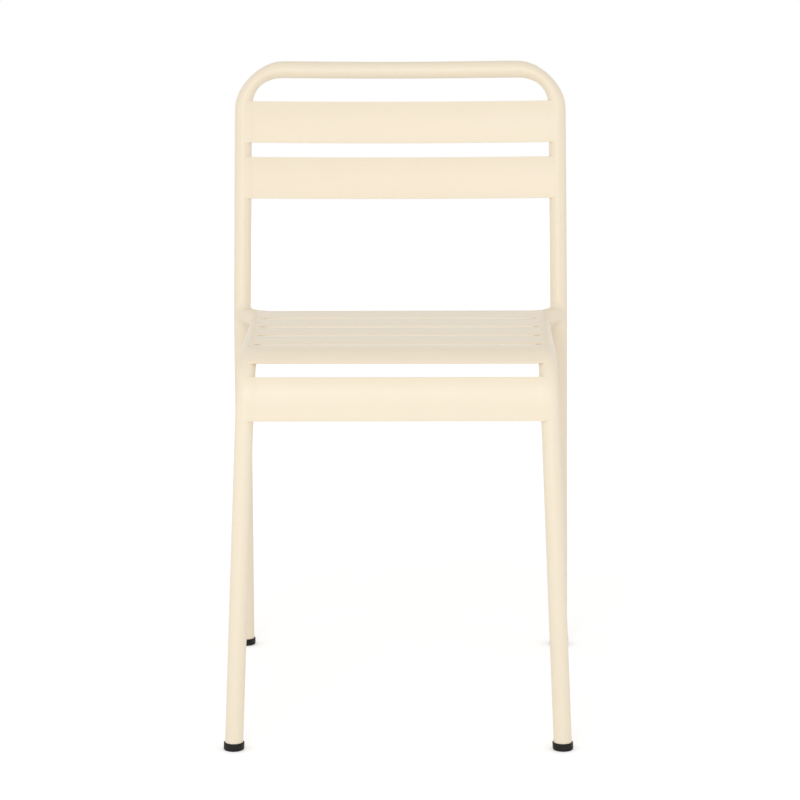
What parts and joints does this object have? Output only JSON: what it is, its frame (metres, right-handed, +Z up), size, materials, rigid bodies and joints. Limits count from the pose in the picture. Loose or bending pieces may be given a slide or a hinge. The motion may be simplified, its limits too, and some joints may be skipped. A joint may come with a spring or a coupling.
{
  "type": "slatted metal dining chair",
  "caption": "Stackable side chair of bent steel tube with welded sheet-steel slats for the seat and back, powder coated in cream, on black plastic plug feet.",
  "frame": {"origin": "on the floor, midway between the four feet", "axes": "+Z up, the sitter faces -Y, +X to the right as seen from the front"},
  "size_m": [0.448, 0.501, 0.7891],
  "materials": {
    "cream_coat": "satin powder coat on mild steel",
    "black_foot": "moulded black plastic"
  },
  "bodies": {
    "root": {"back_frame": "cream_coat", "side_frame_left": "cream_coat", "side_frame_right": "cream_coat", "back_slat_upper": "cream_coat", "back_slat_lower": "cream_coat", "seat_slat_1": "cream_coat", "seat_slat_2": "cream_coat", "seat_slat_3": "cream_coat", "seat_slat_4": "cream_coat", "seat_slat_5": "cream_coat", "front_slat": "cream_coat", "frame_welds_left": "cream_coat", "frame_welds_right": "cream_coat", "back_slat_welds_left": "cream_coat", "back_slat_welds_right": "cream_coat", "seat_slat_welds_left": "cream_coat", "seat_slat_welds_right": "cream_coat", "foot_front_left": "black_foot", "foot_front_right": "black_foot", "foot_rear_left": "black_foot", "foot_rear_right": "black_foot"}
  },
  "joints": []
}
